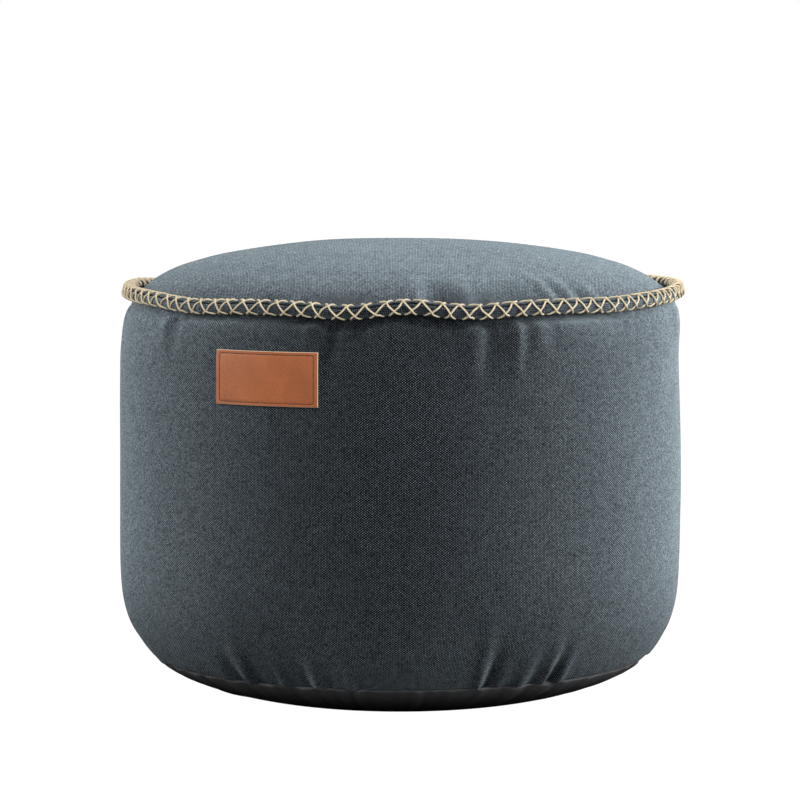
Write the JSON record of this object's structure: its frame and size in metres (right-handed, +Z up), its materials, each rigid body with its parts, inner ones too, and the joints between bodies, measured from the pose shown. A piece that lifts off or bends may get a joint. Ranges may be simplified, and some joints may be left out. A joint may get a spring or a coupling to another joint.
{
  "type": "bean bag footstool",
  "caption": "Round cloth drum filled with beads, with a crowned top, a laced piping round its rim, a flat base and a leather tag.",
  "frame": {"origin": "middle of the flat that the stool rests on", "axes": "+Z up, the crown's way; -Y is the front, where the tag shows to the left; +X is to the right seen from the front"},
  "size_m": [0.4994, 0.4973, 0.4],
  "materials": {
    "woven_cloth": "blue-grey plain weave of dark and light yarn, matt with a soft sheen",
    "base_cloth": "near-black coated cloth, matt",
    "waxed_cord": "waxed twisted cord, natural beige",
    "tan_leather": "smooth tan leather with a pale cut edge"
  },
  "bodies": {
    "root": {"top_panel": "woven_cloth", "side_panel": "woven_cloth", "base_panel": "base_cloth", "rim_piping": "woven_cloth", "rim_lacing": "waxed_cord", "leather_tag": "tan_leather"}
  },
  "joints": []
}
